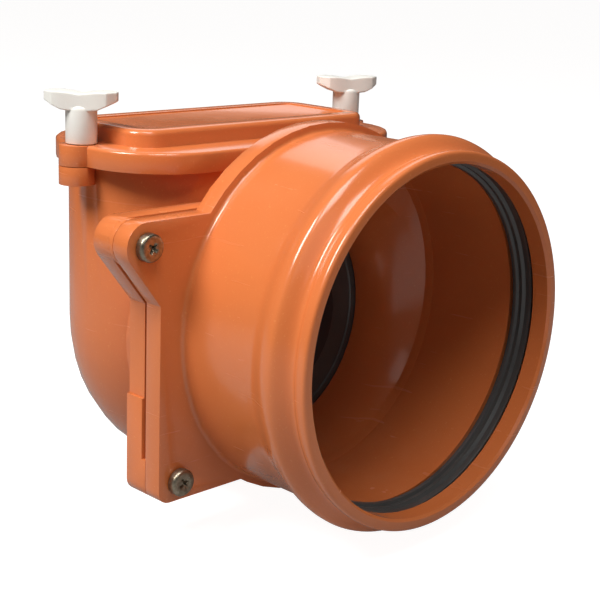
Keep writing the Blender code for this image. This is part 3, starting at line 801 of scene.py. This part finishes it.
@dataclass
class MouldedHousing(Assembly):
    """The chamber and the cover, with softly moulded edges."""

    chamber_edge: float = 0.7 * MM
    cover_edge: float = 0.6 * MM

    def build(self) -> None:
        """Make and hand over the two mouldings."""
        self.mould("chamber", "valve_body", self.chamber_edge)
        self.mould("access_cover", "cover", self.cover_edge)

    def mould(self, node: str, body: str, edge: float) -> None:
        """Round the edges of one moulding and hand it over.

        Args:
            node: The node that it is made from.
            body: The body that carries it.
            edge: Width of its rounded edges.
        """
        piece = moulded_copy(node, f"{node}_moulding")
        soften(piece, edge, 2)
        smooth(piece)
        self.hand_over(piece, body, ORANGE_PVC, node)


@dataclass
class InletSocket(Assembly):
    """The push-fit socket: a finely turned barrel on its moulded flange and nozzle.

    Places along the barrel are depths behind its mouth, and a pair is a depth and a radius.
    """

    mouth: float = 98.5 * MM
    height: float = 97.0 * MM
    seam: float = 25.9 * MM
    bore: float = 80.3 * MM
    bore_chamfer: float = 1.2 * MM
    groove: Span = (9.6 * MM, 23.4 * MM)
    groove_slope: float = 3.4 * MM
    groove_edge: float = 82.4 * MM
    groove_radius: float = 86.6 * MM
    outer: float = 85.7 * MM
    bead_foot: Span = (34.0 * MM, 86.1 * MM)
    bead_run: float = 1.8 * MM
    bead: Span = (16.2 * MM, 91.2 * MM)
    valley: Span = (7.7 * MM, 84.6 * MM)
    lip_back: Span = (5.0 * MM, 85.7 * MM)
    lip: float = 86.1 * MM
    lip_round: tuple[Span, ...] = (
        (1.8 * MM, 0.0), (0.9 * MM, 0.15 * MM), (0.3 * MM, 0.7 * MM), (0.0, 1.6 * MM)
    )
    edge: float = 0.7 * MM
    steps: int = 168

    def profile(self) -> Section:
        """Give the barrel's section.

        Returns:
            Places along the frame's X and radii, from the mouth's inside round to its outside.
        """
        front, back = self.groove
        end = self.mouth - self.seam
        corners = [(0.0, self.bore + self.bore_chamfer), (self.bore_chamfer, self.bore)]
        corners += [(front, self.bore), (front, self.groove_edge)]
        corners += [(front + self.groove_slope, self.groove_radius), (back, self.groove_radius)]
        corners += [(back, self.bore), (end, self.bore), (end, self.outer)]
        corners += [(self.bead_foot[0] + self.bead_run, self.outer)]
        corners += eased(self.bead_foot, self.bead, 9)
        corners += eased(self.bead, self.valley, 8)[1:]
        corners += eased(self.valley, self.lip_back, 3)[1:]
        corners += [(depth, self.lip - drop) for depth, drop in self.lip_round]
        return [(self.mouth - depth, radius) for depth, radius in corners]

    def flange(self) -> Piece:
        """Cut the flange, nozzle and lugs from the frame's socket and close the cut.

        Returns:
            The part behind the barrel's seam.
        """
        piece = moulded_copy("inlet_socket", "inlet_socket_moulding")
        enter(piece)
        bpy.ops.mesh.select_all(action="SELECT")
        bpy.ops.mesh.bisect(plane_co=(self.seam, 0.0, 0.0), plane_no=(1.0, 0.0, 0.0), clear_outer=True)
        choose(
            piece, Pick.EDGES,
            lambda at, way: abs(at.x - self.seam) < ON_PLANE and abs(way.x) < ALONG_PLANE,
        )
        bpy.ops.mesh.bridge_edge_loops()
        bpy.ops.mesh.select_all(action="SELECT")
        bpy.ops.mesh.normals_make_consistent(inside=False)
        leave()
        soften(piece, self.edge, 2)
        smooth(piece)
        return piece

    def build(self) -> None:
        """Make both parts, set them together and hand them over as one."""
        barrel = spun_ring("barrel", self.profile(), self.height, self.steps)
        smooth(barrel, 40.0)
        piece = self.flange()
        hold(piece)
        barrel.select_set(True)
        bpy.ops.object.join()
        self.hand_over(piece, "valve_body", ORANGE_PVC, "inlet_socket")


@dataclass
class PipeSeals(Assembly):
    """The lip seals in the socket's groove and in the outlet, and the flange ring.

    A pair is a step along the axis and a step of radius.
    """

    outer: float = 86.3 * MM
    edge: float = 82.1 * MM
    lip: float = 78.6 * MM
    set_back: float = 1.6 * MM
    face_round: Span = (0.3 * MM, 0.5 * MM)
    cone_start: Span = (0.9 * MM, 0.8 * MM)
    cone_end: Span = (4.4 * MM, 0.3 * MM)
    rib: float = 0.12 * MM
    rib_count: int = 2
    rib_corners: tuple[Span, ...] = ((0.15, 0.0), (0.35, 1.0), (0.75, 1.0))
    lip_corners: tuple[Span, ...] = ((3.4 * MM, 0.0), (2.7 * MM, 0.1 * MM), (2.6 * MM, 0.5 * MM))
    heel_corners: tuple[Span, ...] = ((4.8 * MM, 0.0), (0.4 * MM, 1.2 * MM), (0.0, 1.8 * MM))
    front_slope: float = 3.6 * MM
    steps: int = 128

    def profile(self, back: float, front: float) -> Section:
        """Give the socket seal's section: a ribbed cone down to the lip, and the heel behind it.

        Args:
            back: Place of its back along X.
            front: Place of its front along X.

        Returns:
            Places along X and radii.
        """
        face = front - self.set_back
        corners = [(face, self.edge), (face - self.face_round[0], self.edge - self.face_round[1])]
        start, top = face - self.cone_start[0], self.edge - self.cone_start[1]
        end, foot = back + self.cone_end[0], self.lip + self.cone_end[1]
        span = (end - start) / self.rib_count
        for number in range(self.rib_count):
            radius = top + (foot - top) * number / self.rib_count
            for share, rise in self.rib_corners:
                corners.append((start + (number + share) * span, radius + rise * self.rib))
        corners.append((end, foot))
        corners += [(back + step, self.lip + rise) for step, rise in self.lip_corners]
        corners += [(back + step, self.edge + rise) for step, rise in self.heel_corners]
        return corners + [(back, self.outer), (front - self.front_slope, self.outer)]

    def build(self) -> None:
        """Make the ribbed lip seal and dress the smaller rings."""
        low, high = reach("socket_lip_seal")
        seal = spun_ring(
            "socket_seal_ribbed", self.profile(low.x, high.x), (low.z + high.z) / 2, self.steps
        )
        smooth(seal, 38.0)
        self.hand_over(seal, "valve_body", BLACK_RUBBER, "socket_lip_seal")
        self.keep(BLACK_RUBBER, "outlet_lip_seal", "flange_gasket", "cover_gasket")


@dataclass
class WingScrews(Assembly):
    """The two moulded wing screws: a round neck under two wings with a notch between them."""

    turns: tuple[float, float] = (math.radians(44.0), math.radians(66.0))
    span: float = 33.4 * MM
    tip: float = 7.1 * MM
    waist: float = 6.2 * MM
    widening: float = 1.3
    rounding_start: float = 0.60
    rounding: float = 0.88
    wing_height: float = 8.6 * MM
    underside_rise: float = 0.5
    notch: float = 1.1 * MM
    notch_reach: float = 0.4
    wing_cuts: int = 7
    wing_edge: float = 1.1 * MM
    neck: float = 7.25 * MM
    neck_sides: int = 40
    neck_overlap: float = 2.6 * MM
    neck_foot_edge: float = 0.5 * MM
    neck_dome: float = 2.4 * MM
    thread: float = 3.9 * MM
    thread_sides: int = 24
    thread_length: float = 17.6 * MM
    thread_overlap: float = 2.0 * MM
    thread_gap: float = 0.2 * MM
    thread_taper: float = 1.0 * MM

    def build(self) -> None:
        """Model the screw once on the Z axis, and set and turn a copy on each side."""
        low, high = reach(f"wing_screw_{Side.LEFT.value}")
        wings = self.wings(high.z - self.wing_height, high.z)
        neck = self.round_neck(low.z + self.thread_length, high.z - self.wing_height)
        thread = self.tapered_thread(low.z)
        for side, turn in zip(Side, self.turns):
            node = f"wing_screw_{side.value}"
            low, high = reach(node)
            place = Vector(((low.x + high.x) / 2, (low.y + high.y) / 2, 0.0))
            screw = set_copy(wings, f"{node}_moulded", place, (0.0, 0.0, turn))
            join(screw, set_copy(neck, "neck_copy", place), set_copy(thread, "thread_copy", place))
            smooth(screw, 40.0)
            self.hand_over(screw, f"{side.value}_screw", WHITE_NYLON, node)
        drop(wings, neck, thread)

    def wings(self, foot: float, top: float) -> Piece:
        """Shape the two wings from a block.

        Args:
            foot: Height of the wings' underside at the neck.
            top: Height of the wings' top.

        Returns:
            The wings, along X.
        """
        half = Vector((self.span / 2, self.tip, 0.0))
        block = start_block("wings", Vector((0, 0, foot)) - half, Vector((0, 0, top)) + half)
        enter(block)
        bpy.ops.mesh.select_all(action="SELECT")
        bpy.ops.mesh.subdivide(number_cuts=self.wing_cuts)
        bpy.ops.mesh.select_all(action="DESELECT")
        mesh = bmesh.from_edit_mesh(block.data)
        for point in mesh.verts:
            out = abs(point.co.x)
            share = out / half.x
            width = self.waist + (self.tip - self.waist) * min(1.0, share * self.widening)
            end = max(0.0, (share - self.rounding_start) / (1.0 - self.rounding_start))
            width *= math.sqrt(1.0 - self.rounding * end * end)
            point.co.y *= width / self.tip
            rise = max(0.0, out - self.neck) / (half.x - self.neck)
            floor = foot + rise * self.underside_rise * (top - foot)
            level = (point.co.z - foot) / (top - foot)
            notch = self.notch * max(0.0, 1.0 - share / self.notch_reach)
            point.co.z = floor + level * (top - notch - floor)
        bmesh.update_edit_mesh(block.data)
        leave()
        soften(block, self.wing_edge, 3)
        return block

    def round_neck(self, foot: float, grip: float) -> Piece:
        """Shape the neck, with an eased lower edge and a dome that goes into the wings.

        Args:
            foot: Height of its lower end.
            grip: Height of the wings' underside.

        Returns:
            The neck.
        """
        top = grip + self.neck_overlap
        neck = start_rod("neck", self.neck, Vector((0, 0, foot)), Vector((0, 0, top)), self.neck_sides)
        enter(neck)
        for height, width, segments in ((foot, self.neck_foot_edge, 2), (top, self.neck_dome, 6)):
            choose(neck, Pick.EDGES, lambda at, way: abs(at.z - height) < NEAR and abs(way.z) < LEVEL)
            bpy.ops.mesh.bevel(offset=width, segments=segments)
        leave()
        return neck

    def tapered_thread(self, foot: float) -> Piece:
        """Shape the thread, with a tapered lower end.

        Args:
            foot: Height of the screw's lower end.

        Returns:
            The thread.
        """
        low = Vector((0, 0, foot + self.thread_gap))
        high = Vector((0, 0, foot + self.thread_length + self.thread_overlap))
        thread = start_rod("thread", self.thread, low, high, self.thread_sides)
        enter(thread)
        choose(thread, Pick.EDGES, lambda at, way: abs(at.z - low.z) < NEAR and abs(way.z) < LEVEL)
        bpy.ops.mesh.bevel(offset=self.thread_taper, segments=1)
        leave()
        return thread


@dataclass
class FlangeScrews(Assembly):
    """The four pan-head screws with cross recesses, and their nuts."""

    count: int = 4
    head: float = 6.25 * MM
    head_sides: int = 48
    crown: float = 4.0 * MM
    crown_round: float = 1.5 * MM
    shank: float = 2.9 * MM
    shank_sides: int = 20
    overlap: float = 1.0 * MM
    recess_arm: float = 3.4 * MM
    recess_blade: float = 0.85 * MM
    recess_depth: float = 2.2 * MM
    recess_taper: Place = (1.0, 0.35, 0.6)
    first_tilt: float = 0.95
    tilt_step: float = 0.6
    edge: float = 0.15 * MM

    def build(self) -> None:
        """Model the screw once on the X axis, set and turn the copies and dress the nuts."""
        low, high = reach("flange_screw_1")
        seat = high.x - self.crown
        head = self.pan_head(seat, high.x)
        shank = start_rod(
            "shank", self.shank, Vector((low.x, 0, 0)), Vector((seat + self.overlap, 0, 0)),
            self.shank_sides,
        )
        blade = self.recess(high.x)
        for number in range(self.count):
            node = f"flange_screw_{number + 1}"
            low, high = reach(node)
            place = Vector((0.0, (low.y + high.y) / 2, (low.z + high.z) / 2))
            tilt = self.first_tilt + self.tilt_step * number
            screw = set_copy(head, f"{node}_pan", place)
            for turn in (tilt, tilt + math.pi / 2):
                carve(screw, set_copy(blade, "blade_copy", place, (turn, 0.0, 0.0)))
            join(screw, set_copy(shank, "shank_copy", place))
            soften(screw, self.edge, 1, 50.0)
            smooth(screw, 40.0)
            self.hand_over(screw, "valve_body", ZINC_STEEL, node)
            self.keep(ZINC_STEEL, f"flange_nut_{number + 1}")
        drop(head, shank, blade)

    def pan_head(self, seat: float, crown: float) -> Piece:
        """Shape the head, with a rounded crown.

        Args:
            seat: Place of its underside along X.
            crown: Place of its top along X.

        Returns:
            The head.
        """
        head = start_rod("head", self.head, Vector((seat, 0, 0)), Vector((crown, 0, 0)), self.head_sides)
        enter(head)
        choose(head, Pick.FACES, lambda at, normal: normal.x > FACING)
        bpy.ops.mesh.bevel(offset=self.crown_round, segments=5)
        leave()
        return head

    def recess(self, crown: float) -> Piece:
        """Shape one tapered blade of the cross recess.

        Args:
            crown: Place of the head's top along X.

        Returns:
            The blade, which cuts the head.
        """
        half = Vector((0.0, self.recess_arm, self.recess_blade))
        low = Vector((crown - self.recess_depth, 0, 0)) - half
        blade = start_block("blade", low, Vector((crown + self.overlap, 0, 0)) + half)
        enter(blade)
        choose(blade, Pick.FACES, lambda at, normal: normal.x < -FACING)
        bpy.ops.transform.resize(value=self.recess_taper)
        leave()
        return blade


@dataclass
class Flap(Assembly):
    """The flap: a ribbed plate, a rubber face with a raised lip near its rim, and a clamp disc."""

    radius: float = 63.0 * MM
    steps: int = 96
    lip_margin: float = 1.2 * MM
    lip_width: float = 5.5 * MM
    lip_slope: float = 0.8 * MM
    lip_rise: float = 0.5 * MM
    screw_count: int = 4
    screw_hole: float = 2.3 * MM
    hole_sides: int = 16
    overlap: float = 1.0 * MM
    face_edge: float = 0.3 * MM
    plate_edge: float = 0.35 * MM
    disc_edge: float = 0.3 * MM

    def rubber_face(self) -> Piece:
        """Shape the rubber face: a disc cut flat under the hinge, with a raised lip near its rim.

        Returns:
            The face with its screw holes.
        """
        low, high = reach("flap_seal")
        height = low.z + self.radius
        back, front = Vector((low.x, 0, height)), Vector((high.x, 0, height))
        face = start_rod("flap_rubber_face", self.radius, back, front, self.steps)
        enter(face)
        bpy.ops.mesh.select_all(action="SELECT")
        bpy.ops.mesh.bisect(
            plane_co=(0.0, 0.0, high.z), plane_no=(0.0, 0.0, 1.0), clear_outer=True, use_fill=True
        )
        choose(face, Pick.FACES, lambda at, normal: normal.x > FACING)
        bpy.ops.mesh.inset(thickness=self.lip_margin)
        bpy.ops.mesh.inset(thickness=self.lip_width)
        bpy.ops.mesh.inset(thickness=self.lip_slope, depth=-self.lip_rise)
        leave()
        self.drill(face, low.x - self.overlap, high.x + self.overlap)
        soften(face, self.face_edge, 2)
        smooth(face)
        return face

    def drill(self, face: Piece, back: float, front: float) -> None:
        """Cut the holes of the clamp screws.

        Args:
            face: The rubber face.
            back: Place of the holes' back along X.
            front: Place of their front.
        """
        hole = start_rod(
            "hole", self.screw_hole, Vector((back, 0, 0)), Vector((front, 0, 0)), self.hole_sides
        )
        for number in range(self.screw_count):
            low, high = reach(f"flap_screw_{number + 1}")
            place = Vector((0.0, (low.y + high.y) / 2, (low.z + high.z) / 2))
            carve(face, set_copy(hole, "hole_copy", place))
        drop(hole)

    def build(self) -> None:
        """Make the moulded plate, the clamp disc and the rubber face, and dress the rest."""
        plate = moulded_copy("flap_disc", "flap_plate_moulding")
        soften(plate, self.plate_edge, 1)
        smooth(plate)
        self.hand_over(plate, "flap", BLACK_PLASTIC, "flap_disc")
        disc = moulded_copy("flap_retainer", "flap_clamp_disc")
        soften(disc, self.disc_edge, 2, 30.0)
        smooth(disc)
        self.hand_over(disc, "flap", BLACK_PLASTIC, "flap_retainer")
        self.hand_over(self.rubber_face(), "flap", BLACK_RUBBER, "flap_seal")
        self.keep(STAINLESS_STEEL, *(f"flap_screw_{number + 1}" for number in range(self.screw_count)))
        self.keep(STAINLESS_STEEL, "hinge_pin", "hinge_clip_left", "hinge_clip_right")
        self.keep(BRASS, "cover_insert_left", "cover_insert_right")


# Studio


@dataclass(frozen=True)
class Softbox:
    """One rectangular light that looks at the valve, in metres and watts."""

    name: str
    place: Place
    size: Span
    power: float
    target: Place = (0.0, 0.0, 0.09)

    def hang(self) -> None:
        """Hang the light in its place."""
        light = bpy.data.lights.new(self.name, "AREA")
        light.shape = "RECTANGLE"
        light.size, light.size_y = self.size
        light.energy = self.power
        lamp = bpy.data.objects.new(self.name, light)
        bpy.context.scene.collection.objects.link(lamp)
        lamp.location = self.place
        lamp.rotation_euler = (Vector(self.target) - lamp.location).to_track_quat("-Z", "Y").to_euler()


@dataclass(frozen=True)
class Viewpoint:
    """The camera where the photograph was taken."""

    place: Place = (0.45127, -0.44445, 0.26389)
    right: Place = (0.7012, 0.71198, 0.03731)
    up: Place = (-0.2073, 0.15351, 0.96618)
    ahead: Place = (-0.68216, 0.68521, -0.25523)
    sensor: float = 36.0
    lens: float = 79.83

    def set_up(self) -> None:
        """Put the camera in its place and look through it."""
        data = bpy.data.cameras.new("camera")
        data.sensor_width = self.sensor
        data.lens = self.lens
        camera = bpy.data.objects.new("camera", data)
        bpy.context.scene.collection.objects.link(camera)
        turn = Matrix((Vector(self.right), Vector(self.up), -Vector(self.ahead))).transposed()
        camera.matrix_world = Matrix.Translation(self.place) @ turn.to_4x4()
        bpy.context.scene.camera = camera


@dataclass
class Studio:
    """A pale floor, even air, soft lights and the camera."""

    lights: tuple[Softbox, ...] = (
        Softbox("key", (-0.24, -1.05, 1.35), (0.65, 0.65), 27.0),
        Softbox("top", (0.46, -0.30, 1.40), (0.7, 0.7), 11.0),
        Softbox("fill", (0.95, -0.45, 0.80), (0.9, 0.5), 0.8),
        Softbox("back", (-0.95, 0.85, 1.00), (0.8, 0.8), 2.2),
    )
    viewpoint: Viewpoint = Viewpoint()
    floor_size: float = 60.0
    floor_level: float = -0.2 * MM
    floor_colour: Colour = (0.26, 0.257, 0.255)
    floor_cloud: Colour = (0.28, 0.277, 0.275)
    floor_roughness: float = 0.8
    pool: Span = (0.50, 0.62)
    pool_glow: Span = (0.10, 0.02)
    seen_glow: float = 0.96
    air: float = 0.06

    def build(self) -> None:
        """Set up floor, lights, air and camera."""
        self.lay_floor()
        for light in self.lights:
            light.hang()
        self.fill_air()
        self.viewpoint.set_up()
        bpy.context.scene.view_settings.view_transform = "Standard"
        bpy.context.scene.view_settings.look = "None"

    def lay_floor(self) -> None:
        """Lay the pale floor under the valve."""
        deselect_all()
        bpy.ops.mesh.primitive_grid_add(
            x_subdivisions=4, y_subdivisions=4, size=self.floor_size, location=(0, 0, self.floor_level)
        )
        floor = settle(bpy.context.object, "studio_floor")
        floor.data.materials.append(self.floor_finish())

    def floor_finish(self) -> bpy.types.Material:
        """Make the floor's material, which looks bright and lights the valve only faintly.

        Returns:
            The material.
        """
        material = bpy.data.materials.new("studio_floor")
        material.use_nodes = True
        tree = Wiring(material.node_tree)
        shader = material.node_tree.nodes["Principled BSDF"]
        shader.inputs["Roughness"].default_value = self.floor_roughness
        shader.inputs["Emission Color"].default_value = DAYLIGHT
        place = tree.add("ShaderNodeTexCoord", "place").outputs["Object"]
        distance = tree.add("ShaderNodeVectorMath", "distance from the valve", operation="LENGTH")
        tree.link(place, distance.inputs[0])
        seen = tree.add("ShaderNodeLightPath", "seen or lighting")
        glow = tree.add("ShaderNodeMix", "glow", data_type="FLOAT")
        tree.link(seen.outputs["Is Camera Ray"], glow.inputs["Factor"])
        tree.link(tree.spread(distance.outputs["Value"], self.pool, self.pool_glow), glow.inputs["A"])
        glow.inputs["B"].default_value = self.seen_glow
        tree.link(glow.outputs["Result"], shader.inputs["Emission Strength"])
        tone = tree.blend("tone", tree.noise(place, 3.0, 4.0), self.floor_colour, self.floor_cloud)
        tree.link(tone, shader.inputs["Base Color"])
        return material

    def fill_air(self) -> None:
        """Fill the room with faint even light behind a white background."""
        world = bpy.data.worlds.new("studio_air")
        world.use_nodes = True
        tree = Wiring(world.node_tree)
        background = world.node_tree.nodes["Background"]
        background.inputs["Color"].default_value = DAYLIGHT
        seen = tree.add("ShaderNodeLightPath", "seen or lighting")
        level = tree.spread(seen.outputs["Is Camera Ray"], (0.0, 1.0), (self.air, 1.0))
        tree.link(level, background.inputs["Strength"])
        bpy.context.scene.world = world


def main() -> None:
    """Build every sub-assembly in order, then the studio."""
    logging.basicConfig(level=logging.INFO, format="%(message)s")
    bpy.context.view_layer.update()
    shop = Paintshop(Groups(colour_drift(), moulded_grain(), settled_dust()))
    for part in (MouldedHousing, InletSocket, PipeSeals, WingScrews, FlangeScrews, Flap):
        part(shop).build()
    Studio().build()


if __name__ == "__main__":
    main()
